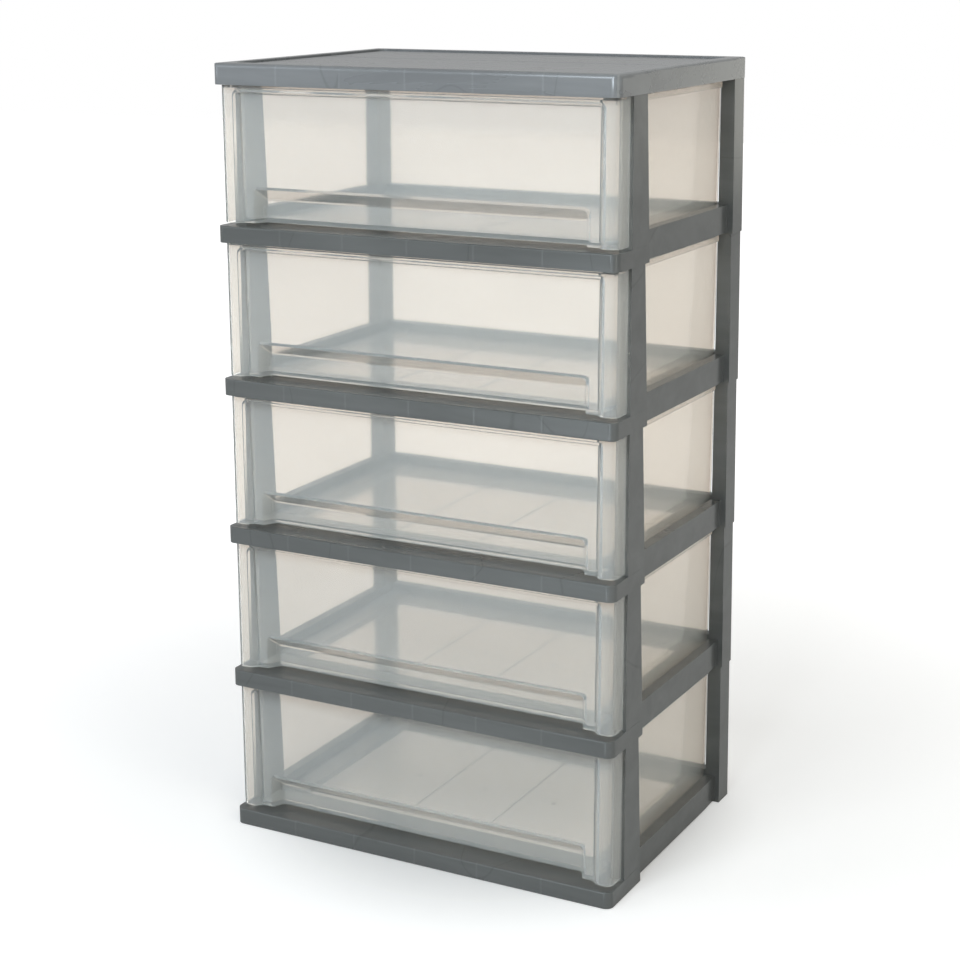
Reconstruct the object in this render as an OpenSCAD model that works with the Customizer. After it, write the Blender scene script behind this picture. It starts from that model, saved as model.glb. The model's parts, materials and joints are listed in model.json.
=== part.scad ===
/* [Tower] */
// Width over the front beams
tower_w = 365; // [320:1:420]
// Depth from the front beams to the back rails
tower_d = 262; // [236:1:320]
// Height of one tier, from the underside of one frame to the underside of the next
tier_pitch = 130; // [105:1:180]

/* [Frame] */
// Wall thickness of the frames and the top panel
frame_wall = 2.2; // [1.8:0.1:2.6]
// Height of the front beam's deck above the frame's underside
beam_h = 14; // [11:0.5:16]
// Front beam, front to back
beam_d = 55; // [46:1:64]
// Radius of the upright corners at the front
corner_r = 7; // [5:0.5:9]
// Rounding of the front beam's upper front edge
beam_edge_r = 1.5; // [0.5:0.1:2.5]
// Step from the front beam's side in to the side rails
rail_set = 5; // [3:0.5:6]
// Width of the side rails
rail_w = 9; // [8:0.5:11]
// Height of the side rails' top edge above the frame's underside
rail_h = 24.5; // [22:0.5:32]
// Depth of the shallow relief in the side rails' outer faces, near the rear posts
rail_relief = 0.8; // [0.4:0.1:1.2]
// Distance from the rear post to the start of the relief
rail_relief_d = 23; // [12:1:40]
// Length of the bead between the relief and the rear post
rail_bead_d = 2.5; // [1.5:0.5:5]
// Width of the back rail
back_rail_w = 9.5; // [8:0.5:11]
// Height of the back rail's top edge above the frame's underside
back_rail_h = 23.5; // [21:0.5:30]
// Height of the rails' lower edge above the frame's underside
rail_lift = 1; // [0.5:0.5:4]
// Width of the ledges that the drawer runs on
ledge_w = 23; // [14:1:30]
// Height of the ledges above the front beam's deck
ledge_rise = 2; // [1:0.5:4]
// Height of the stiffening lip along each ledge
ledge_lip = 6; // [4:0.5:8]
// Spacing of the stiffening ribs inside the front beams and under the top panel
rib_pitch = 60; // [40:1:80]
// Thickness of the stiffening ribs
rib_wall = 1.5; // [1:0.1:2]
// Height of the ribs' lower edges above the lower edge of their beam or panel
rib_lift = 3; // [1:0.5:6]

/* [Posts] */
// Front posts, side to side, at the foot
front_post_w = 11.5; // [10:0.5:13]
// Front posts, distance back from the beam's front face
front_post_set = 27.5; // [25:0.5:32]
// Front posts, front to back, at the foot
front_post_d = 33; // [28:1:38]
// Rear posts, side to side, at the foot
rear_post_w = 13.5; // [12:0.5:15]
// Rear posts, front to back
rear_post_d = 24; // [20:1:32]
// Step from the front beam's side in to a rear post's side
rear_post_step = 0.5; // [0.3:0.1:1]
// Radius of the upright corners at the back
back_corner_r = 3; // [2:0.5:4]
// Draft of the posts' outer faces over one tier
post_draft = 1.2; // [0.8:0.1:1.6]
// Draft of the front posts' front edge over one tier
front_edge_draft = 2.1; // [1:0.1:3]
// Draft of the front posts' edge on the window side over one tier
window_edge_draft = 5.3; // [2:0.1:6]
// Height of the tenon on top of each post
tenon_h = 10; // [6:0.5:14]
// Clearance round a tenon in its socket
tenon_gap = 0.3; // [0.2:0.05:0.5]

/* [Top panel] */
// Height of the top panel
top_h = 17.5; // [15:0.5:24]
// Rounding of the top panel's upper edges
top_edge_r = 4; // [2:0.5:5]
// Width of the rim round the sunken field
top_rim_w = 13; // [9:0.5:18]
// Depth of the sunken field below the rim
top_field_drop = 1.6; // [1:0.1:2.5]
// Width of the channel along the field's edge
top_channel_w = 4; // [2:0.5:6]
// Depth of the channel along the field's edge
top_channel_depth = 1; // [0.5:0.1:1.2]
// Distance from the panel's middle back to the groove across the field
top_groove_set = 12; // [-40:1:60]
// Width of the groove across the field
top_groove_w = 1.4; // [1:0.1:2.4]
// Depth of the groove across the field
top_groove_depth = 0.7; // [0.4:0.1:1]
// Each of the two steps in the top panel's sides, in front of and behind the front posts
top_side_step = 0.4; // [0.2:0.1:0.6]

/* [Drawer] */
// Wall thickness of the drawers
drawer_wall = 2; // [1.6:0.1:2.4]
// Running gap between a drawer's floor and its ledges
run_gap = 0.3; // [0.3:0.1:0.8]
// Gap between a drawer and the frame above it
head_gap = 0.7; // [0.5:0.1:1.5]
// Gap between a drawer's rim and the front posts
side_gap = 0.7; // [0.5:0.1:1.2]
// Gap between a drawer's side walls and the rear posts
tub_gap = 3.2; // [2.8:0.1:5]
// Gap between a closed drawer's rim and the rear posts' front faces
rim_stop_gap = 1.3; // [0.8:0.1:3]
// Gap between a closed drawer and the front posts
post_gap = 1; // [0.6:0.1:2]
// Gap between a closed drawer and the back rail
back_gap = 1.3; // [0.8:0.1:3]
// Overhang of the rim along the back and between the rear posts
rim_back_overhang = 1.6; // [1:0.1:2.4]
// Height of the rim's skirt
rim_skirt_h = 6.3; // [4:0.1:9]
// Thickness of the rim's skirt
rim_skirt_wall = 1.4; // [1:0.1:1.6]
// Draft of the drawer's side walls, bottom to top
side_draft = 2.2; // [1:0.1:4]
// Draft of the drawer's back wall, bottom to top
back_draft = 1; // [0.5:0.1:2]
// Radius of the drawer's rear corners
tub_corner_r = 8; // [5:0.5:12]
// Length of the raised floor strip behind the drawer's front
floor_strip_d = 14; // [8:1:20]
// Height of the raised floor strip
floor_strip_h = 1.4; // [0.8:0.1:2]

/* [Drawer front] */
// Setback of the drawer's front from the beam's front face
front_set = 6.5; // [4:0.5:9]
// Setback of the drawer's front from the tower's sides
front_side_set = 2.5; // [1.5:0.5:4]
// Radius of the front's upright corners
front_corner_r = 6; // [4:0.5:7]
// Width of the front's raised border at the sides
border_w = 13.5; // [12:0.5:18]
// Height of the front's raised border at the top
border_h = 5.2; // [3.5:0.1:9]
// Depth of the front's sunken panel behind the border
panel_drop = 5; // [3:0.5:6]
// Sideways slope of the sunken panel's end walls
panel_slope = 4.5; // [2:0.5:6]
// Downward slope of the sunken panel's upper wall
panel_brow = 2; // [1:0.5:3]
// Distance from the sunken panel's side to the finger recess
grip_side_set = 10; // [8:0.5:60]
// Height of the finger recess above the drawer's underside
grip_h = 28.2; // [22:0.5:40]
// Depth of the finger recess behind the sunken panel
grip_drop = 11; // [7:0.5:12]
// Sideways slope of the finger recess's end walls
grip_slope = 6; // [2:0.5:9]
// Downward slope of the finger recess's upper wall
grip_brow = 10; // [4:0.5:12]
// Radius of the upper corners of the panel and the finger recess
recess_r = 4.5; // [3:0.5:6]
// Depth of the flange behind the front's top edge
front_flange_d = 8.5; // [7.5:0.5:12]

/* [Hidden] */
tiers = 5;
$fn = 64;
// Length by which cutting shapes run past the surface that they cut
past = 1;

half_w = tower_w / 2;
half_d = tower_d / 2;
top_z = tiers * tier_pitch;
ledge_z = beam_h + ledge_rise;
rail_out = half_w - rail_set;
rail_in = rail_out - rail_w;
beam_back = -half_d + beam_d;
back_rail_front = half_d - back_rail_w;
front_in = half_w - front_post_w;
rear_out = half_w - rear_post_step;
rear_in = rear_out - rear_post_w;
rear_post_y = half_d - rear_post_d;

// Post outlines are [inner x, outer x, front y, back y], on the right-hand side
front_post_y = -half_d + front_post_set;
front_foot = [front_in, half_w, front_post_y, front_post_y + front_post_d];
front_head = front_foot + [0, -post_draft, front_edge_draft, -window_edge_draft];
rear_foot = [rear_in, rear_out, rear_post_y, half_d];
rear_head = rear_foot + [0, -post_draft, 0, 0];

// Drawer heights, from the underside of its frame
drawer_low = ledge_z + run_gap;
drawer_high = tier_pitch - head_gap;
drawer_floor = drawer_low + drawer_wall;

// Drawer outlines are [left x, right x, front y, back y]
front_x = half_w - front_side_set;
border_y = -half_d + front_set;
panel_y = border_y + panel_drop;
grip_y = panel_y + grip_drop;
wing_back = front_post_y - post_gap;
rim_x = front_in - side_gap;
rim_stop_y = rear_post_y - rim_stop_gap;
tub_x_high = rear_in - tub_gap;
tub_x_low = tub_x_high - side_draft;
tub_y_low = back_rail_front - back_gap;
tub_y_high = tub_y_low + back_draft;
tub_front = border_y + drawer_wall / 2;
tub_low = [-tub_x_low, tub_x_low, tub_front, tub_y_low];
tub_high = [-tub_x_high, tub_x_high, tub_front, tub_y_high];

// The sunken panel and the finger recess are [half width, top height, y], at their mouth and their face
panel_mouth = [front_x - border_w, drawer_high - border_h, border_y];
panel_face = [panel_mouth[0] - panel_slope, panel_mouth[1] - panel_brow, panel_y];
grip_mouth = [panel_face[0] - grip_side_set, drawer_low + grip_h, panel_y];
grip_face = [grip_mouth[0] - grip_slope, grip_mouth[1] - grip_brow, grip_y];

frame_grey = [0.52, 0.53, 0.51];
panel_grey = [0.62, 0.62, 0.59];
drawer_clear = [0.82, 0.81, 0.77, 0.55];

// Outline drawn in at every side by wall
function inset(outline, wall) = outline + wall * [1, -1, 1, -1];

// Outline at height z of something that is low at 0 and high at one tier
function outline_at(low, high, z) = low + (high - low) * z / tier_pitch;

module on_both_sides() {
    children();
    mirror([1, 0, 0]) children();
}

// Runs an outline drawn in x and z along y
module run_y(y0, y1) {
    translate([0, y1, 0]) rotate([90, 0, 0]) linear_extrude(y1 - y0) children();
}

// Runs an outline drawn in y and z along x
module run_x(x0, x1) {
    translate([x0, 0, 0]) rotate([90, 0, 90]) linear_extrude(x1 - x0) children();
}

module flat_box(outline) {
    translate([outline[0], outline[2]]) square([outline[1] - outline[0], outline[3] - outline[2]]);
}

// Rectangle with its corners on the low y side rounded
module rounded_low(outline, r) {
    flat_box(outline + [0, 0, r, 0]);
    flat_box(outline + [r, -r, 0, 0]);
    translate([outline[0] + r, outline[2] + r]) circle(r);
    translate([outline[1] - r, outline[2] + r]) circle(r);
}

// Rectangle with its corners on the high y side rounded
module rounded_high(outline, r) {
    mirror([0, 1]) rounded_low([outline[0], outline[1], -outline[3], -outline[2]], r);
}

// Block with four straight faces that run from one outline at z0 to another at z1
module drafted_block(low, high, z0, z1) {
    intersection() {
        run_y(min(low[2], high[2]), max(low[3], high[3]))
            polygon([[low[0], z0], [low[1], z0], [high[1], z1], [high[0], z1]]);
        run_x(min(low[0], high[0]), max(low[1], high[1]))
            polygon([[low[2], z0], [low[3], z0], [high[3], z1], [high[2], z1]]);
    }
}

// Part of a post between z0 and z1, drawn in by wall
module post_block(foot, head, wall, z0, z1) {
    drafted_block(
        inset(outline_at(foot, head, z0), wall),
        inset(outline_at(foot, head, z1), wall),
        z0, z1
    );
}

module front_post_solid() {
    post_block(front_foot, front_head, 0, 0, tier_pitch);
}

module front_post_hollow() {
    post_block(front_foot, front_head, frame_wall, -past, tier_pitch - frame_wall);
}

// Rear post; its outer face and its rounded corner lean in together
module rear_post_solid() {
    lean = atan(post_draft / tier_pitch);
    intersection() {
        linear_extrude(tier_pitch) flat_box([rear_in, rear_out + past, rear_post_y, half_d + past]);
        translate([rear_out, 0, 0]) rotate([0, -lean, 0])
            translate([0, 0, -past]) linear_extrude(tier_pitch + 2 * past)
                rounded_high([-2 * rear_post_w, 0, 0, half_d], back_corner_r);
    }
}

module rear_post_hollow() {
    post_block(rear_foot, rear_head, frame_wall, -past, tier_pitch - frame_wall);
}

// Tenon that stands on a post and fits the hollow foot of the post above
module tenon(foot, head) {
    socket = inset(outline_at(foot, head, tenon_h), frame_wall + tenon_gap);
    shoulder = inset(head, frame_wall / 2);
    z0 = tier_pitch - frame_wall;
    translate([0, 0, z0]) linear_extrude(frame_wall + tenon_h) intersection() {
        flat_box(socket);
        flat_box(shoulder);
    }
}

module beam_profile(wall) {
    rounded_high([-half_d + wall, beam_back - wall, -past, beam_h - wall], beam_edge_r);
}

module front_beam_solid() {
    intersection() {
        linear_extrude(beam_h) rounded_low([-half_w, half_w, -half_d, beam_back], corner_r);
        union() {
            run_x(-half_w, half_w) beam_profile(0);
            run_x(-half_w, half_w) flat_box([-half_d + beam_d / 2, beam_back, 0, beam_h]);
        }
    }
}

// Rows of ribs from front to back, spaced evenly from the middle and clear of the posts
module rib_rows() {
    each_side = floor(front_in / rib_pitch - 1 / 2);
    for (row = [-each_side : each_side])
        translate([row * rib_pitch, 0]) square([rib_wall, tower_d], center = true);
}

// Hollow below height z that leaves the ribs standing above rib_lift
module ribbed_hollow(z) {
    translate([0, 0, -past]) linear_extrude(rib_lift + past) children();
    linear_extrude(z) difference() {
        children();
        rib_rows();
    }
}

module front_beam_hollow() {
    ribbed_hollow(beam_h - frame_wall)
        rounded_low(inset([-half_w, half_w, -half_d, beam_back], frame_wall), corner_r - frame_wall);
}

// Side rail, open below, with a shallow relief and a bead in its outer face by the rear post
module side_rail() {
    y0 = min(front_foot[3], beam_back) - 2 * frame_wall;
    y1 = rear_post_y + frame_wall;
    relief_x = rail_out - rail_relief;
    relief_y = rear_post_y - rail_relief_d;
    bead_y = rear_post_y - rail_bead_d;
    difference() {
        translate([0, 0, rail_lift]) linear_extrude(rail_h - rail_lift) polygon([
            [rail_in, y0], [rail_out, y0], [rail_out, relief_y], [relief_x, bead_y],
            [rail_out, bead_y], [rail_out, y1], [rail_in, y1]
        ]);
        translate([0, 0, rail_lift - past]) linear_extrude(rail_h - frame_wall - rail_lift + past)
            flat_box([
                rail_in + frame_wall, relief_x - frame_wall,
                front_foot[3] - frame_wall, rear_post_y - frame_wall
            ]);
    }
}

// Back rail between the rear posts, open below
module back_rail() {
    reach = rear_in + frame_wall;
    run_x(-reach, reach) difference() {
        flat_box([back_rail_front, half_d, rail_lift, back_rail_h]);
        flat_box(inset([back_rail_front, half_d, rail_lift - 2 * frame_wall, back_rail_h], frame_wall));
    }
}

// Ledge that carries one side of the drawer, with a lip along its free edge
module ledge() {
    inner = rail_in - ledge_w;
    run_y(beam_back - frame_wall, back_rail_front + frame_wall) {
        flat_box([inner, rail_in + frame_wall, ledge_z - frame_wall, ledge_z]);
        flat_box([inner, inner + frame_wall, ledge_z - ledge_lip, ledge_z]);
    }
}

module tier_frame() {
    difference() {
        union() {
            difference() {
                front_beam_solid();
                front_beam_hollow();
            }
            back_rail();
            on_both_sides() {
                front_post_solid();
                rear_post_solid();
                side_rail();
                ledge();
            }
        }
        on_both_sides() {
            front_post_hollow();
            rear_post_hollow();
        }
    }
    on_both_sides() {
        tenon(front_foot, front_head);
        tenon(rear_foot, rear_head);
    }
}

module at_tier(number) {
    translate([0, 0, (number - 1) * tier_pitch]) children();
}

// Top panel's outline, drawn in by wall: full width at the front, with small steps at the posts
module top_outline(wall) {
    post_x = half_w - top_side_step - wall;
    window_x = post_x - top_side_step;
    rear_x = window_x - rear_post_step;
    rounded_low([-half_w + wall, half_w - wall, -half_d + wall, front_foot[2]], corner_r - wall);
    flat_box([-post_x, post_x, front_foot[2] - past, front_foot[3]]);
    flat_box([-window_x, window_x, front_foot[3] - past, rear_post_y]);
    rounded_high([-rear_x, rear_x, rear_post_y - past, half_d - wall], back_corner_r);
}

module top_field(field) {
    intersection() {
        rounded_low(field, corner_r);
        rounded_high(field, corner_r);
    }
}

module top_shell() {
    field_z = top_h - top_field_drop;
    field = [-half_w + top_rim_w, half_w - top_rim_w, -half_d + top_rim_w, half_d - top_rim_w];
    difference() {
        intersection() {
            linear_extrude(top_h) top_outline(0);
            run_x(-half_w, half_w) rounded_high([-half_d, half_d, 0, top_h], top_edge_r);
            run_y(-half_d, half_d) rounded_high([-half_w, half_w, 0, top_h], top_edge_r);
        }
        ribbed_hollow(field_z - frame_wall) top_outline(frame_wall);
        translate([0, 0, field_z]) linear_extrude(top_field_drop + past) top_field(field);
        translate([0, 0, field_z - top_channel_depth]) linear_extrude(top_field_drop) difference() {
            top_field(field);
            top_field(inset(field, top_channel_w));
        }
        translate([0, 0, field_z - top_groove_depth]) linear_extrude(top_groove_depth + past)
            flat_box([
                field[0], field[1],
                top_groove_set - top_groove_w / 2, top_groove_set + top_groove_w / 2
            ]);
    }
}

// Walls round the head of one post, under the top panel
module top_socket_walls(foot) {
    intersection() {
        linear_extrude(top_h - top_field_drop - frame_wall / 2) flat_box(foot);
        linear_extrude(top_h) top_outline(frame_wall / 2);
    }
}

module top_socket_hollow(foot) {
    translate([0, 0, -past]) linear_extrude(tenon_h + 2 * past) flat_box(inset(foot, frame_wall));
}

module top_panel_moulding() {
    difference() {
        union() {
            top_shell();
            on_both_sides() {
                top_socket_walls(front_foot);
                top_socket_walls(rear_foot);
            }
        }
        on_both_sides() {
            top_socket_hollow(front_foot);
            top_socket_hollow(rear_foot);
        }
    }
}

// Recess in the drawer's front with sloped ends and brow, from its mouth to its face, grown by wall
module front_recess(mouth, face, wall) {
    grow = wall * [1, 1, 1];
    outer = mouth + grow;
    inner = face + grow;
    clear_y = border_y - past;
    clear_z = drawer_low - past;
    intersection() {
        translate([0, 0, clear_z]) linear_extrude(drawer_high - clear_z) polygon([
            [-outer[0], clear_y], [outer[0], clear_y], [outer[0], outer[2]],
            [inner[0], inner[2]], [-inner[0], inner[2]], [-outer[0], outer[2]]
        ]);
        run_x(-outer[0], outer[0]) polygon([
            [clear_y, clear_z], [inner[2], clear_z], [inner[2], inner[1]],
            [outer[2], outer[1]], [clear_y, outer[1]]
        ]);
        run_y(clear_y, inner[2])
            rounded_high([-outer[0], outer[0], clear_z - past, outer[1]], recess_r + wall / 2);
    }
}

module front_recesses(wall) {
    front_recess(panel_mouth, panel_face, wall);
    front_recess(grip_mouth, grip_face, wall);
}

// Drawer front with its wings: an even wall round the border, the sunken panel and the finger recess
module drawer_front() {
    block = [-front_x, front_x, border_y, wing_back];
    height = drawer_high - drawer_low;
    difference() {
        translate([0, 0, drawer_low]) linear_extrude(height) rounded_low(block, front_corner_r);
        difference() {
            translate([0, 0, drawer_low - past]) linear_extrude(height - drawer_wall + past)
                rounded_low(inset(block, drawer_wall) + [0, 0, 0, drawer_wall + past], front_corner_r - drawer_wall);
            front_recesses(drawer_wall);
        }
    }
}

// Cut that opens the drawer's top behind the flange of its front
module top_mouth() {
    reach = inset(tub_high, drawer_wall);
    translate([0, 0, drawer_high - border_h - drawer_wall]) linear_extrude(border_h + 2 * drawer_wall)
        flat_box([reach[0], reach[1], border_y + front_flange_d, wing_back + past]);
}

module tub_outline(wall) {
    rounded_high(inset(tub_high, wall) + [0, 0, -wall - past, 0], tub_corner_r - wall);
}

module tub_solid() {
    intersection() {
        drafted_block(tub_low, tub_high, drawer_low, drawer_high);
        translate([0, 0, drawer_low]) linear_extrude(drawer_high - drawer_low) tub_outline(0);
    }
}

module tub_hollow() {
    side = drawer_wall * [1, -1, 0, -1];
    ahead = [0, 0, -past, 0];
    intersection() {
        drafted_block(tub_low + side + ahead, tub_high + side + ahead, drawer_floor, drawer_high + past);
        translate([0, 0, drawer_floor]) linear_extrude(drawer_high) tub_outline(drawer_wall);
    }
}

// Side rims, each a flange with a skirt that hangs clear of the wall and ends before the rear post
module side_rims() {
    outer = [-rim_x, rim_x, wing_back - drawer_wall, rim_stop_y];
    flange_in = tub_x_high - drawer_wall / 2;
    skirt_in = rim_x - rim_skirt_wall;
    translate([0, 0, drawer_high - drawer_wall]) linear_extrude(drawer_wall) difference() {
        flat_box(outer);
        flat_box([-flange_in, flange_in, outer[2] - past, outer[3] + past]);
    }
    translate([0, 0, drawer_high - rim_skirt_h]) linear_extrude(rim_skirt_h) {
        difference() {
            flat_box(outer);
            flat_box([-skirt_in, skirt_in, outer[2] - past, outer[3] + past]);
        }
        on_both_sides() flat_box([flange_in, rim_x, rim_stop_y - rim_skirt_wall, rim_stop_y]);
    }
}

// Narrow flange along the back and between the rear posts
module back_rim() {
    reach_x = tub_x_high + rim_back_overhang;
    inner = inset(tub_high, drawer_wall) + [0, 0, -past, 0];
    translate([0, 0, drawer_high - drawer_wall]) linear_extrude(drawer_wall) difference() {
        rounded_high(
            [-reach_x, reach_x, rim_stop_y - drawer_wall, tub_y_high + rim_back_overhang],
            tub_corner_r + rim_back_overhang
        );
        rounded_high(inner, tub_corner_r - drawer_wall);
    }
}

module floor_strip() {
    width = 2 * (tub_x_low - drawer_wall / 2);
    strip_back = grip_y + drawer_wall + floor_strip_d;
    translate([-width / 2, tub_front, drawer_low])
        cube([width, strip_back - tub_front, drawer_wall + floor_strip_h]);
}

module drawer() {
    difference() {
        union() {
            difference() {
                drawer_front();
                top_mouth();
            }
            difference() {
                tub_solid();
                tub_hollow();
            }
            side_rims();
            back_rim();
            floor_strip();
        }
        front_recesses(0);
    }
}

module tier_frame_1() { color(frame_grey) at_tier(1) tier_frame(); }
module tier_frame_2() { color(frame_grey) at_tier(2) tier_frame(); }
module tier_frame_3() { color(frame_grey) at_tier(3) tier_frame(); }
module tier_frame_4() { color(frame_grey) at_tier(4) tier_frame(); }
module tier_frame_5() { color(frame_grey) at_tier(5) tier_frame(); }
module top_panel() { color(panel_grey) translate([0, 0, top_z]) top_panel_moulding(); }
module drawer_1() { color(drawer_clear) at_tier(1) drawer(); }
module drawer_2() { color(drawer_clear) at_tier(2) drawer(); }
module drawer_3() { color(drawer_clear) at_tier(3) drawer(); }
module drawer_4() { color(drawer_clear) at_tier(4) drawer(); }
module drawer_5() { color(drawer_clear) at_tier(5) drawer(); }

tier_frame_1();
tier_frame_2();
tier_frame_3();
tier_frame_4();
tier_frame_5();
top_panel();
drawer_1();
drawer_2();
drawer_3();
drawer_4();
drawer_5();
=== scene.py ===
# %% [markdown]
# # A plastic drawer tower
# The object is a stack of five open frames under a flat top panel, with a frosted drawer in each frame.
# Its solids come packed as a fixed frame. Here they get softened edges, floor marks, plastics and light.
# Everything is in metres, with the origin in the middle of the footprint and the drawers facing -Y.

# %% Load the frame
import json
import math

import bmesh
import bpy
from mathutils import Matrix, Vector
from mathutils.bvhtree import BVHTree


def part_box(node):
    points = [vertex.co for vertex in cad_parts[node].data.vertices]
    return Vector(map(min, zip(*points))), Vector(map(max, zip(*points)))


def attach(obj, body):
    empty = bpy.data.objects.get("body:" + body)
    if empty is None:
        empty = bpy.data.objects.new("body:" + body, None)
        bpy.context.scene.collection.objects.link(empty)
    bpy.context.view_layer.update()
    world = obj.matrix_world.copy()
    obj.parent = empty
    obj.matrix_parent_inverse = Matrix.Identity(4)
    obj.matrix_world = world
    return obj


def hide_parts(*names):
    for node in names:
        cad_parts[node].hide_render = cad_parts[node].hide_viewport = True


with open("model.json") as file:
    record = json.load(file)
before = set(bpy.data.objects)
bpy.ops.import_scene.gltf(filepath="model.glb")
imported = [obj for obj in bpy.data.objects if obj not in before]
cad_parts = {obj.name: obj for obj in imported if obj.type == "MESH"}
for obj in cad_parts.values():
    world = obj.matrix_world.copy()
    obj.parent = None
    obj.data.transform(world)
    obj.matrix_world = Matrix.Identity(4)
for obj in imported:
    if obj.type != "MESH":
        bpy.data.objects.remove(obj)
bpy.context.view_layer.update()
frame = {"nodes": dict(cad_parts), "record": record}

MM = 0.001

# %% [markdown]
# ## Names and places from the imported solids
# Each drawer rides on a body of its own, and the record says which. The sink marks lie on the front face of
# the frames, and the lamps aim at the middle of the tower's height. Both places are read from the boxes of
# the solids, so they stay right whatever the tower's size.

# %% Names and places
FRAMES = ["tier_frame_1", "tier_frame_2", "tier_frame_3", "tier_frame_4", "tier_frame_5"]
DRAWERS = ["drawer_1", "drawer_2", "drawer_3", "drawer_4", "drawer_5"]
TOWER = "tower"
body_of_drawer = {members[0]: body for body, members in frame["record"]["behaviour"]["bodies"].items()
                  if members[0] in DRAWERS}
frame_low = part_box("tier_frame_1")[0]
panel_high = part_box("top_panel")[1]
front_face = frame_low.y
tower_middle = Vector((0, 0, (panel_high.z + frame_low.z) / 2))
print("front face at y:", round(front_face, 4), "middle at z:", round(tower_middle.z, 4))

# %% [markdown]
# ## The camera
# A long lens a little above the tower, in front of its right side. The small vertical shift frames the
# tower's whole height without tilting the camera further down, so the upright edges keep their slope.
# Angles are in radians.

# %% Camera
IMAGE_PX = 960
FOCAL_PX = 2015.66
SENSOR_MM = 36.0
AZIMUTH = 0.4928
ELEVATION = 0.2313
ROLL = -0.0044
CAMERA_AT = Vector((0.79851, -1.49662, 0.75975))
CENTRE_ROW_PX = 420.0

camera_data = bpy.data.cameras.new("camera")
camera_data.sensor_width = SENSOR_MM
camera_data.lens = FOCAL_PX * SENSOR_MM / IMAGE_PX
camera_data.shift_y = (CENTRE_ROW_PX - IMAGE_PX / 2) / IMAGE_PX
camera = bpy.data.objects.new("camera", camera_data)
bpy.context.scene.collection.objects.link(camera)
bpy.context.scene.camera = camera

forward = Vector((-math.sin(AZIMUTH) * math.cos(ELEVATION), math.cos(AZIMUTH) * math.cos(ELEVATION),
                  -math.sin(ELEVATION)))
level = Vector((math.cos(AZIMUTH), math.sin(AZIMUTH), 0))
upright = level.cross(forward)
right = level * math.cos(ROLL) + upright * math.sin(ROLL)
up = upright * math.cos(ROLL) - level * math.sin(ROLL)
camera.matrix_world = Matrix.Translation(CAMERA_AT) @ Matrix((right, up, -forward)).transposed().to_4x4()
print("lens, mm:", round(camera_data.lens, 2), "shift:", round(camera_data.shift_y, 4))

# %% [markdown]
# ## Node helpers
# Materials and shapes are both node trees. These short helpers add a node with its settings and link
# values into sums, so that each tree below reads as a list of what it does.

# %% Adding and linking nodes
def add_node(tree, kind, **settings):
    """A node of that kind. Settings that name an input set its value, and the rest set the node itself."""
    node = tree.nodes.new(kind)
    for name, value in settings.items():
        if hasattr(node, name):
            setattr(node, name, value)
        else:
            node.inputs[name.replace("_", " ")].default_value = value
    return node


def calculate(tree, operation, *values):
    """The result of a Math node. Each value is a number or the output of another node."""
    node = add_node(tree, "ShaderNodeMath", operation=operation)
    for socket, value in zip(node.inputs, values):
        if isinstance(value, (int, float)):
            socket.default_value = value
        else:
            tree.links.new(value, socket)
    return node.outputs["Value"]


# %% [markdown]
# ## Values that vary over a surface
# Noise mostly stays between 0.3 and 0.7. A ramp over that span gives its full contrast, and a wider span
# gives less. All patterns read object coordinates, so they keep their place on a piece when it moves.

# %% Fades, ramps and noise
WHOLE_SPAN = (0.0, 1.0)
WIDE_SPAN = (0.1, 0.9)
NOISE_SPAN = (0.3, 0.7)
EVEN = (1, 1, 1)


def fade(tree, source, full_at, none_at):
    """1 where the source is at full_at, sinking smoothly to 0 where it reaches none_at."""
    node = add_node(tree, "ShaderNodeMapRange", interpolation_type="SMOOTHSTEP", From_Min=full_at,
                    From_Max=none_at, To_Min=1.0, To_Max=0.0)
    tree.links.new(source, node.inputs["Value"])
    return node.outputs["Result"]


def ramp(tree, source, span, low, high):
    """Colours from low to high, as the source goes from one end of the span to the other."""
    node = add_node(tree, "ShaderNodeValToRGB")
    for element, position, colour in zip(node.color_ramp.elements, span, (low, high)):
        element.position = position
        element.color = (*colour, 1)
    tree.links.new(source, node.inputs["Fac"])
    return node.outputs["Color"]


def grey(value):
    return (value, value, value)


def object_place(tree):
    return add_node(tree, "ShaderNodeTexCoord").outputs["Object"]


def noise(tree, stretch, **settings):
    """Noise on object coordinates, finer along the axes with a larger stretch."""
    mapping = add_node(tree, "ShaderNodeMapping", Scale=stretch)
    texture = add_node(tree, "ShaderNodeTexNoise", **settings)
    tree.links.new(object_place(tree), mapping.inputs["Vector"])
    tree.links.new(mapping.outputs["Vector"], texture.inputs["Vector"])
    return texture.outputs["Fac"]


# %% Materials and relief
def new_material(name):
    """A material, its node tree and its main shader."""
    material = bpy.data.materials.new(name)
    material.use_nodes = True
    tree = material.node_tree
    return material, tree, tree.nodes["Principled BSDF"]


def relief(tree, shader, height):
    """Bump from a height in metres."""
    node = add_node(tree, "ShaderNodeBump", Strength=1.0, Distance=1.0)
    tree.links.new(height, node.inputs["Height"])
    tree.links.new(node.outputs["Normal"], shader.inputs["Normal"])


# %% [markdown]
# ## Marks in the grey plastic
# Plastic shrinks most where it is thickest. Behind the front of each beam and of the top panel stand
# stiffening ribs, and each draws the face in along a thin upright line: a sink mark. Where two streams of
# melt met, a fine wandering line stays in the skin. These marks are less than a tenth of a millimetre deep.
# Cut into the mesh, they would take thousands of faces, so the material draws them. It also paints each sink
# mark paler, a painted highlight along the line. A ping-pong of the X
# coordinate gives the distance to the nearest rib, and the contour of a slow noise is a wandering line.

# %% Sink marks and flow lines
RIB_PITCH = 60 * MM
MARKED_HALF_W = 2.2 * RIB_PITCH
SINK_HALF_W = 1.4 * MM
FRONT_SKIN = 2 * MM
FLOW_STRETCH = (9, 3, 5)
FLOW_CONTOUR = 0.5
FLOW_HALF_W = 0.006


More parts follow.
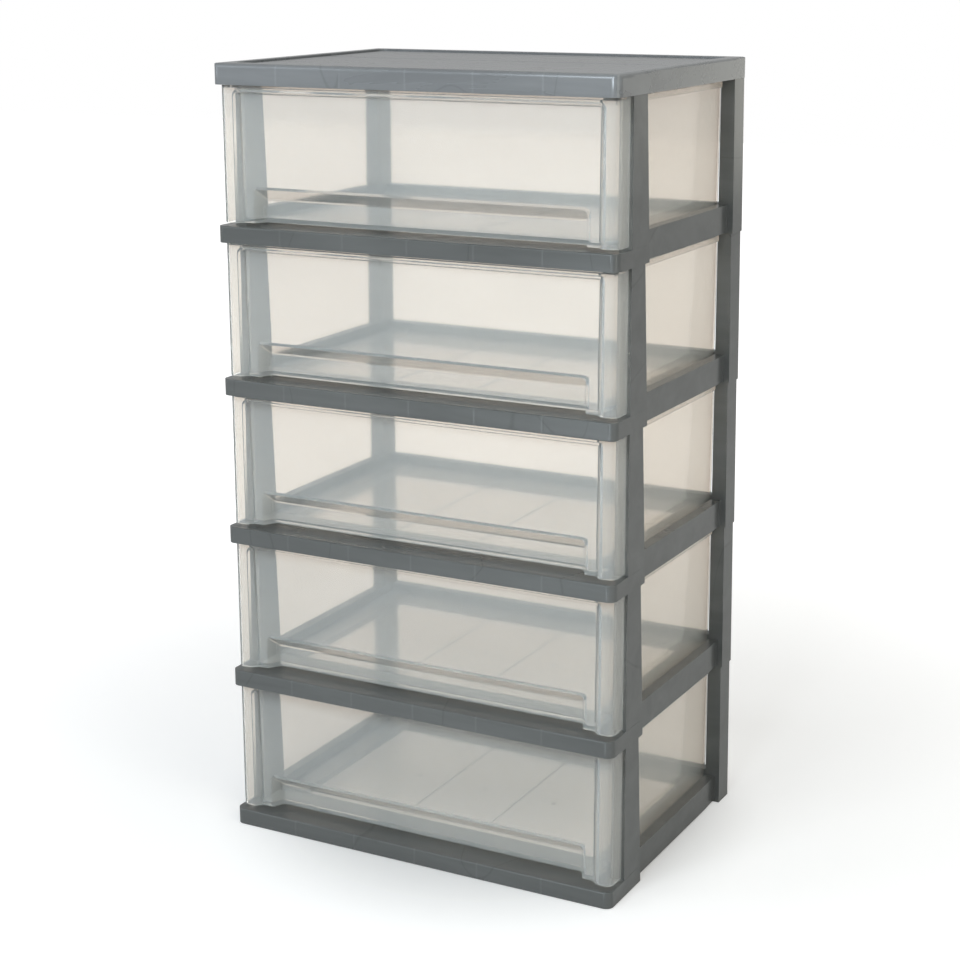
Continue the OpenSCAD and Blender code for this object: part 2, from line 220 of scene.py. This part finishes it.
def sink_marks(tree):
    """1 along the lines where a rib stands behind a front face, and 0 elsewhere."""
    place = add_node(tree, "ShaderNodeSeparateXYZ")
    tree.links.new(object_place(tree), place.inputs["Vector"])
    to_rib = calculate(tree, "PINGPONG", place.outputs["X"], RIB_PITCH / 2)
    on_front = calculate(tree, "LESS_THAN", place.outputs["Y"], front_face + FRONT_SKIN)
    across = calculate(tree, "ABSOLUTE", place.outputs["X"])
    between_posts = calculate(tree, "LESS_THAN", across, MARKED_HALF_W)
    marked = calculate(tree, "MULTIPLY", on_front, between_posts)
    return calculate(tree, "MULTIPLY", fade(tree, to_rib, 0.0, SINK_HALF_W), marked)


def flow_lines(tree):
    """1 along one contour of a slow noise, and 0 elsewhere. Its width is a difference in noise."""
    slow = noise(tree, FLOW_STRETCH, Scale=1.0, Detail=1.0, Roughness=0.4, Distortion=0.6)
    from_contour = calculate(tree, "ABSOLUTE", calculate(tree, "SUBTRACT", slow, FLOW_CONTOUR))
    return fade(tree, from_contour, 0.0, FLOW_HALF_W)


print("sink marks on each front:", 2 * int(MARKED_HALF_W / RIB_PITCH) + 1)

# %% [markdown]
# ## The grey plastic
# The frames are polypropylene with a pearl pigment. As the melt flows along a beam, the pigment lines up
# in long pale streaks. One flat grey would look like paint, so noise stretched along the beams draws the
# streaks and makes the gloss uneven. The bump adds the fine grain of the mould to the sink marks and flow
# lines. The top panel's plastic is paler and a little rougher, and both materials come from one function.

# %% Grey plastic
GREY_IOR = 1.49
PEARL_METALLIC = 0.35
PEARL_SPECULAR = 0.3
STREAK_STRETCH = (6, 30, 40)
SINK_PAINTED_HIGHLIGHT = 0.25
FLOW_DARKER = 0.25
UNEVEN_GLOSS = 0.02
GRAIN_SCALE = 1500.0
GRAIN_DEEP = 0.0006 * MM
SINK_DEEP = 0.07 * MM
FLOW_DEEP = 0.03 * MM


def pearl_plastic(name, dark, light, roughness):
    """Grey plastic with pale streaks, sink marks with a painted highlight, flow lines and a fine grain."""
    material, tree, shader = new_material(name)
    shader.inputs["IOR"].default_value = GREY_IOR
    shader.inputs["Metallic"].default_value = PEARL_METALLIC
    shader.inputs["Specular IOR Level"].default_value = PEARL_SPECULAR
    sinks = sink_marks(tree)
    lines = flow_lines(tree)
    streaks = noise(tree, STREAK_STRETCH, Scale=1.0, Detail=4.0, Roughness=0.6, Distortion=0.4)
    # The sink marks are painted paler here: a painted highlight along each line, beside their real dent in
    # the bump.
    marks = calculate(tree, "SUBTRACT", calculate(tree, "MULTIPLY", sinks, SINK_PAINTED_HIGHLIGHT),
                      calculate(tree, "MULTIPLY", lines, FLOW_DARKER))
    tint = ramp(tree, calculate(tree, "ADD", streaks, marks), WHOLE_SPAN, dark, light)
    tree.links.new(tint, shader.inputs["Base Color"])
    gloss = ramp(tree, streaks, NOISE_SPAN, grey(roughness - UNEVEN_GLOSS), grey(roughness + UNEVEN_GLOSS))
    tree.links.new(gloss, shader.inputs["Roughness"])
    grain = noise(tree, EVEN, Scale=GRAIN_SCALE, Detail=2.0, Roughness=0.6)
    sunk = calculate(tree, "ADD", calculate(tree, "MULTIPLY", sinks, -SINK_DEEP),
                     calculate(tree, "MULTIPLY", lines, -FLOW_DEEP))
    relief(tree, shader, calculate(tree, "ADD", sunk, calculate(tree, "MULTIPLY", grain, GRAIN_DEEP)))
    return material


frame_plastic = pearl_plastic("pearl_grey", dark=(0.096, 0.101, 0.099), light=(0.172, 0.180, 0.177),
                              roughness=0.25)
panel_plastic = pearl_plastic("pearl_grey_panel", dark=(0.165, 0.173, 0.177), light=(0.290, 0.303, 0.310),
                              roughness=0.28)
print("grey plastics:", frame_plastic.name, panel_plastic.name)

# %% [markdown]
# ## The frosted plastic
# The drawers are natural polypropylene: clear enough to show the posts behind it, with a milky haze.
# Its crystals scatter blue light more than red. So what shines through is warm, and the haze, which shows
# before anything dark, is cool. One shader has one colour, so two are mixed: a warm clear one, whose little
# roughness blurs more what lies further back, and a cool solid one for the haze.
# Light that went through a curved wall can't be aimed back at a lamp, so clear pieces cast shadows that are
# too dark. The usual cure is another shader for shadow rays alone, which lets them through with a tint.

# %% Frosted plastic
HAZE = 0.19
CLEAR_IOR = 1.15
CLEAR_SMOOTHEST = 0.08
CLEAR_ROUGHEST = 0.12
MILKY_IOR = 1.4
MILKY_ROUGHNESS = 0.4
CLOUD_SCALE = 9.0
MATT_SCALE = 1800.0
MATT_DEEP = 0.0004 * MM


def mixed(tree, share, first, second):
    """A mix of two shaders, with a share of the second that is a number or a node's output."""
    node = add_node(tree, "ShaderNodeMixShader")
    if isinstance(share, float):
        node.inputs["Fac"].default_value = share
    else:
        tree.links.new(share, node.inputs["Fac"])
    tree.links.new(first, node.inputs[1])
    tree.links.new(second, node.inputs[2])
    return node.outputs["Shader"]


def frosted_plastic(name, passed, scattered, shadow_tint):
    """Half see-through plastic. Passed and scattered light each have a low and a high colour."""
    material, tree, clear = new_material(name)
    clear.inputs["IOR"].default_value = CLEAR_IOR
    clear.inputs["Transmission Weight"].default_value = 1.0
    milky = add_node(tree, "ShaderNodeBsdfPrincipled", IOR=MILKY_IOR, Roughness=MILKY_ROUGHNESS)
    cloud = noise(tree, EVEN, Scale=CLOUD_SCALE, Detail=2.0, Roughness=0.5)
    grain = noise(tree, EVEN, Scale=MATT_SCALE, Detail=2.0, Roughness=0.6)
    gloss = ramp(tree, grain, NOISE_SPAN, grey(CLEAR_SMOOTHEST), grey(CLEAR_ROUGHEST))
    tree.links.new(gloss, clear.inputs["Roughness"])
    for shader, (low, high) in ((clear, passed), (milky, scattered)):
        tree.links.new(ramp(tree, cloud, WIDE_SPAN, low, high), shader.inputs["Base Color"])
        relief(tree, shader, calculate(tree, "MULTIPLY", grain, MATT_DEEP))
    plastic = mixed(tree, HAZE, clear.outputs["BSDF"], milky.outputs["BSDF"])
    let_through = add_node(tree, "ShaderNodeBsdfTransparent", Color=(*shadow_tint, 1))
    shadow = add_node(tree, "ShaderNodeLightPath").outputs["Is Shadow Ray"]
    surface = mixed(tree, shadow, plastic, let_through.outputs["BSDF"])
    tree.links.new(surface, tree.nodes["Material Output"].inputs["Surface"])
    return material


drawer_plastic = frosted_plastic(
    "frosted_drawer",
    passed=((0.90, 0.83, 0.76), (0.94, 0.87, 0.80)),
    scattered=((0.60, 0.67, 0.69), (0.66, 0.72, 0.74)),
    shadow_tint=(0.92, 0.92, 0.91))
print("frosted plastic:", drawer_plastic.name)

# %% [markdown]
# ## Softened copies of the mouldings
# A mould leaves no knife edges. Each moulding is copied from its solid, its triangles are merged back
# into whole faces, and a bevel rounds every edge by about half a millimetre, which is what catches the
# light along a real beam. The copies stand for the solids, which stay as they were.

# %% A plain mesh from a solid or from modifiers
WELD = 0.001 * MM
SAME_PLANE = math.radians(0.4)


def merged_copy(node, name):
    """A copy of a solid's mesh, with its loose triangles merged back into whole faces."""
    mesh = bpy.data.meshes.new_from_object(frame["nodes"][node])
    mesh.name = name
    work = bmesh.new()
    work.from_mesh(mesh)
    bmesh.ops.remove_doubles(work, verts=work.verts, dist=WELD)
    bmesh.ops.dissolve_limit(work, angle_limit=SAME_PLANE, verts=work.verts, edges=work.edges, delimit=set())
    work.to_mesh(mesh)
    work.free()
    return mesh


def finish_mesh(piece):
    """Turns a piece's modifiers into a plain mesh."""
    evaluated = piece.evaluated_get(bpy.context.evaluated_depsgraph_get())
    mesh = bpy.data.meshes.new_from_object(evaluated)
    piece.modifiers.clear()
    piece.data = mesh


# %% Softened copies
SHARP = math.radians(35)
BEVEL_SEGMENTS = 2
LARGE_FACES_FIRST = 100
GREY_EDGE = 0.5 * MM
DRAWER_EDGE = 0.6 * MM


def softened(node, edge, material, body):
    """A copy of a solid with rounded edges, which stands for it and moves with its body."""
    mesh = merged_copy(node, node + "_moulding")
    mesh.materials.clear()
    mesh.materials.append(material)
    for polygon in mesh.polygons:
        polygon.use_smooth = True
    piece = bpy.data.objects.new(mesh.name, mesh)
    bpy.context.scene.collection.objects.link(piece)
    rounding = piece.modifiers.new("rounding", "BEVEL")
    rounding.width = edge
    rounding.segments = BEVEL_SEGMENTS
    rounding.limit_method = "ANGLE"
    rounding.angle_limit = SHARP
    flat_faces = piece.modifiers.new("flat_faces", "WEIGHTED_NORMAL")
    flat_faces.weight = LARGE_FACES_FIRST
    finish_mesh(piece)
    print(piece.name, "faces:", len(piece.data.polygons))
    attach(piece, body)
    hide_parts(node)


for node in FRAMES:
    softened(node, GREY_EDGE, frame_plastic, TOWER)
softened("top_panel", GREY_EDGE, panel_plastic, TOWER)
for node in DRAWERS:
    softened(node, DRAWER_EDGE, drawer_plastic, body_of_drawer[node])

# %% [markdown]
# ## Marks in the drawers' floors
# A drawer is filled through three gates in its floor. Each leaves a low round pad with a pip in the
# middle, and between them run two faint raised lines. Both are one shape repeated along X, so one kind
# of Geometry Nodes tree makes either row: a line of points, a copy on each, and real mesh at the end.

# %% A row of copies
def new_shape_tree(name, sizes):
    """A Geometry Nodes tree with a named input for each size, and its two ends."""
    tree = bpy.data.node_groups.new(name, "GeometryNodeTree")
    tree.interface.new_socket("Geometry", in_out="OUTPUT", socket_type="NodeSocketGeometry")
    for size in sizes:
        kind = "NodeSocketInt" if size == "Count" else "NodeSocketFloat"
        tree.interface.new_socket(size, in_out="INPUT", socket_type=kind)
    tree.interface.new_socket("Material", in_out="INPUT", socket_type="NodeSocketMaterial")
    return tree, tree.nodes.new("NodeGroupInput").outputs, tree.nodes.new("NodeGroupOutput")


def along(tree, axis, length):
    """A vector of that length along one axis."""
    node = tree.nodes.new("ShaderNodeCombineXYZ")
    tree.links.new(length, node.inputs[axis])
    return node.outputs["Vector"]


def row_of(tree, given, end, shape):
    """Copies of a shape on a line of points along X, centred, made real and given the material."""
    gaps = calculate(tree, "SUBTRACT", given["Count"], 1)
    start = calculate(tree, "MULTIPLY", calculate(tree, "MULTIPLY", gaps, given["Spacing"]), -0.5)
    line = tree.nodes.new("GeometryNodeMeshLine")
    copies = tree.nodes.new("GeometryNodeInstanceOnPoints")
    real = tree.nodes.new("GeometryNodeRealizeInstances")
    finish = tree.nodes.new("GeometryNodeSetMaterial")
    tree.links.new(given["Count"], line.inputs["Count"])
    tree.links.new(along(tree, "X", start), line.inputs["Start Location"])
    tree.links.new(along(tree, "X", given["Spacing"]), line.inputs["Offset"])
    tree.links.new(line.outputs["Mesh"], copies.inputs["Points"])
    tree.links.new(shape, copies.inputs["Instance"])
    tree.links.new(copies.outputs["Instances"], real.inputs["Geometry"])
    tree.links.new(real.outputs["Geometry"], finish.inputs["Geometry"])
    tree.links.new(given["Material"], finish.inputs["Material"])
    tree.links.new(finish.outputs["Geometry"], end.inputs["Geometry"])


# %% [markdown]
# ## The gate mark
# The pad and the pip are both low cones without a tip, because a steep side would stick in the mould. They
# are given as shares of one radius and one height, so two sizes set the whole mark.

# %% The gate marks' tree
ROUND_STEPS = 24
TOP_SHARE = 0.8
PAD = (1.0, 1.0)
PIP = (0.25, 2.0)


def gate_mark_tree():
    """A row of pads with a pip. Each cone has its share of the mark's radius and of its height."""
    tree, given, end = new_shape_tree("gate_marks", ("Count", "Spacing", "Radius", "Height"))
    both = tree.nodes.new("GeometryNodeJoinGeometry")
    for radius_share, height_share in (PAD, PIP):
        cone = add_node(tree, "GeometryNodeMeshCone", Vertices=ROUND_STEPS)
        foot = calculate(tree, "MULTIPLY", given["Radius"], radius_share)
        tree.links.new(foot, cone.inputs["Radius Bottom"])
        tree.links.new(calculate(tree, "MULTIPLY", foot, TOP_SHARE), cone.inputs["Radius Top"])
        tree.links.new(calculate(tree, "MULTIPLY", given["Height"], height_share), cone.inputs["Depth"])
        tree.links.new(cone.outputs["Mesh"], both.inputs["Geometry"])
    row_of(tree, given, end, both.outputs["Geometry"])
    return tree


gate_marks = gate_mark_tree()
print("gate mark tree, nodes:", len(gate_marks.nodes))

# %% [markdown]
# ## The floor line
# A floor line is a low ridge with slanted sides. A scaled box would have upright ones, so a narrow section
# is swept along a path instead, and the length is one input of its own.

# %% The floor lines' tree
RIDGE_SHARE = 0.5


def floor_line_tree():
    """A row of ridges along Y, each with its section centred on its path."""
    tree, given, end = new_shape_tree("floor_lines", ("Count", "Spacing", "Length", "Width", "Height"))
    path = tree.nodes.new("GeometryNodeCurvePrimitiveLine")
    tree.links.new(along(tree, "Y", given["Length"]), path.inputs["End"])
    section = add_node(tree, "GeometryNodeCurvePrimitiveQuadrilateral", mode="TRAPEZOID", Offset=0.0)
    tree.links.new(given["Width"], section.inputs["Bottom Width"])
    tree.links.new(calculate(tree, "MULTIPLY", given["Width"], RIDGE_SHARE), section.inputs["Top Width"])
    tree.links.new(given["Height"], section.inputs["Height"])
    swept = add_node(tree, "GeometryNodeCurveToMesh", Fill_Caps=True)
    tree.links.new(path.outputs["Curve"], swept.inputs["Curve"])
    tree.links.new(section.outputs["Curve"], swept.inputs["Profile Curve"])
    row_of(tree, given, end, swept.outputs["Mesh"])
    return tree


floor_lines = floor_line_tree()
print("floor line tree, nodes:", len(floor_lines.nodes))

# %% [markdown]
# ## Setting the marks down
# A modifier's input goes by the socket's identifier, and it is set before the piece is first evaluated.
# A ray cast down inside the solid drawer finds its floor, and the finished mesh is moved there, so that
# the marks lie on the plastic and their object stays at the origin.

# %% Pieces from a tree
def shape_from(tree, name, values):
    """A piece with the plain mesh that a shape tree makes of these values."""
    piece = bpy.data.objects.new(name, bpy.data.meshes.new(name))
    bpy.context.scene.collection.objects.link(piece)
    modifier = piece.modifiers.new("nodes", "NODES")
    modifier.node_group = tree
    for socket in tree.interface.items_tree:
        if socket.in_out == "INPUT":
            modifier[socket.identifier] = values[socket.name]
    finish_mesh(piece)
    return piece


def floor_under(node, at):
    """The point of a drawer's floor under a place inside it."""
    mesh = frame["nodes"][node].data
    faces = BVHTree.FromPolygons([v.co for v in mesh.vertices], [p.vertices for p in mesh.polygons])
    return faces.ray_cast(at, Vector((0, 0, -1)))[0]


# %% Floor marks
GATE_MARK = {"Count": 3, "Spacing": 68 * MM, "Radius": 2.6 * MM, "Height": 0.3 * MM}
FLOOR_LINE = {"Count": 2, "Spacing": 76 * MM, "Width": 1.6 * MM, "Height": 0.4 * MM}
LENGTH_SHARE = 0.72
START_SHARE = -0.45
BEDDED = 0.02 * MM

for node in DRAWERS:
    low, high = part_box(node)
    seat = floor_under(node, (low + high) / 2)
    length = LENGTH_SHARE * (high.y - low.y)
    marks = shape_from(gate_marks, node + "_gate_marks", {**GATE_MARK, "Material": drawer_plastic})
    lines = shape_from(floor_lines, node + "_floor_lines",
                       {**FLOOR_LINE, "Length": length, "Material": drawer_plastic})
    line_start = Vector((0, START_SHARE * length, FLOOR_LINE["Height"] / 2 - BEDDED))
    marks.data.transform(Matrix.Translation(seat - Vector((0, 0, BEDDED))))
    lines.data.transform(Matrix.Translation(seat + line_start))
    for piece in (marks, lines):
        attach(piece, body_of_drawer[node])
        print(piece.name, "at z:", round(seat.z, 4), "faces:", len(piece.data.polygons))

# %% [markdown]
# ## The floor
# A pale floor under plain soft light. Where the lens or a see-through piece looks at them, the floor and the
# world glow towards white, and a reflection finds a dimmer white. The light itself stays at a level at which
# a colour renders about as it is written. Near the tower the glow is weaker, a painted shade that lets the
# lamps' shadow show, and right under the tower it is weaker still, a painted contact shadow.

# %% What glows white
REFLECTED = 0.4


def seen_directly(tree):
    """1 for what the lens or a see-through piece looks at, less for a reflection, 0 for the light itself."""
    path = add_node(tree, "ShaderNodeLightPath").outputs
    reflected = calculate(tree, "MULTIPLY", path["Is Glossy Ray"], REFLECTED)
    by_lens_or_gloss = calculate(tree, "MAXIMUM", path["Is Camera Ray"], reflected)
    return calculate(tree, "MAXIMUM", by_lens_or_gloss, path["Is Transmission Ray"])


# %% Floor
FLOOR_HALF = 6.0
FLOOR_DROP = 0.5 * MM
FLOOR_TONE = (0.72, 0.72, 0.71)
FLOOR_ROUGHNESS = 0.9
NEAR_FROM = 0.2
NEAR_TO = 1.4
NEAR_PAINTED_SHADE = 0.55
UNDER_FROM = 0.12
UNDER_TO = 0.26
UNDER_PAINTED_SHADOW = 0.3

floor_mesh = bpy.data.meshes.new("floor")
corners = [(x * FLOOR_HALF, y * FLOOR_HALF, -FLOOR_DROP) for x, y in ((-1, -1), (1, -1), (1, 1), (-1, 1))]
floor_mesh.from_pydata(corners, [], [(0, 1, 2, 3)])
floor = bpy.data.objects.new("floor", floor_mesh)
bpy.context.scene.collection.objects.link(floor)

floor_material, floor_tree, floor_shader = new_material("pale_floor")
floor_shader.inputs["Base Color"].default_value = (*FLOOR_TONE, 1)
floor_shader.inputs["Roughness"].default_value = FLOOR_ROUGHNESS
floor_shader.inputs["Specular IOR Level"].default_value = 0.0
floor_shader.inputs["Emission Color"].default_value = (1, 1, 1, 1)
away = add_node(floor_tree, "ShaderNodeVectorMath", operation="LENGTH")
floor_tree.links.new(object_place(floor_tree), away.inputs[0])
# Painted shade: the floor's glow is dimmer near the tower.
painted_shade_near = fade(floor_tree, away.outputs["Value"], NEAR_FROM, NEAR_TO)
# Painted contact shadow: the glow is dimmer still right under the tower.
under = fade(floor_tree, away.outputs["Value"], UNDER_FROM, UNDER_TO)
painted_shade = calculate(floor_tree, "ADD", calculate(floor_tree, "MULTIPLY", painted_shade_near, NEAR_PAINTED_SHADE),
                   calculate(floor_tree, "MULTIPLY", under, UNDER_PAINTED_SHADOW))
full_glow = calculate(floor_tree, "SUBTRACT", 1.0, painted_shade)
glow = calculate(floor_tree, "MULTIPLY", full_glow, seen_directly(floor_tree))
floor_tree.links.new(glow, floor_shader.inputs["Emission Strength"])
floor_mesh.materials.append(floor_material)
print("floor, metres across:", 2 * FLOOR_HALF, "at z:", -FLOOR_DROP)

# %% [markdown]
# ## The light
# A cool softbox in front and above is the key. A low one under it lights the slants that face down, and a
# weak one fills from the left. A warm one on the right lights the side, and a narrow strip beside it draws
# the bright line down the rounded corners. One behind on the right shines in the sides of the rear posts,
# and one overhead lifts the top.

# %% World
SURROUND = 0.30

world = bpy.data.worlds.new("studio")
bpy.context.scene.world = world
world.use_nodes = True
background = world.node_tree.nodes["Background"]
background.inputs["Color"].default_value = (1, 1, 1, 1)
strength = add_node(world.node_tree, "ShaderNodeMapRange", To_Min=SURROUND, To_Max=1.0)
world.node_tree.links.new(seen_directly(world.node_tree), strength.inputs["Value"])
world.node_tree.links.new(strength.outputs["Result"], background.inputs["Strength"])
print("world, strength as a light:", SURROUND)

# %% Lamps
COOL = (0.84, 0.92, 1.0)
WARM = (1.0, 0.97, 0.86)


def softbox(name, at, width, height, watts, tint):
    """An area lamp that aims at the middle of the tower."""
    lamp = bpy.data.lights.new(name, "AREA")
    lamp.shape = "RECTANGLE"
    lamp.size = width
    lamp.size_y = height
    lamp.energy = watts
    lamp.color = tint
    holder = bpy.data.objects.new(name, lamp)
    bpy.context.scene.collection.objects.link(holder)
    holder.location = at
    towards = tower_middle - Vector(at)
    holder.rotation_euler = towards.to_track_quat("-Z", "Y").to_euler()
    print(name, "watts:", watts)


softbox("key_softbox", (0.0, -1.35, 1.30), width=0.9, height=0.7, watts=15, tint=COOL)
softbox("low_softbox", (0.1, -1.5, 0.15), width=1.2, height=0.2, watts=2.5, tint=COOL)
softbox("left_softbox", (-1.4, -1.0, 1.2), width=0.9, height=0.9, watts=4, tint=COOL)
softbox("right_softbox", (1.35, -0.60, 1.5), width=0.9, height=0.9, watts=6, tint=WARM)
softbox("strip_light", (1.25, -0.55, 0.8), width=0.08, height=1.3, watts=1.6, tint=WARM)
softbox("rear_softbox", (0.85, 2.2, 0.5), width=0.2, height=0.3, watts=0.6, tint=WARM)
softbox("top_softbox", (0.2, 1.0, 2.2), width=1.5, height=1.5, watts=3, tint=WARM)

bpy.context.scene.view_settings.view_transform = "Standard"
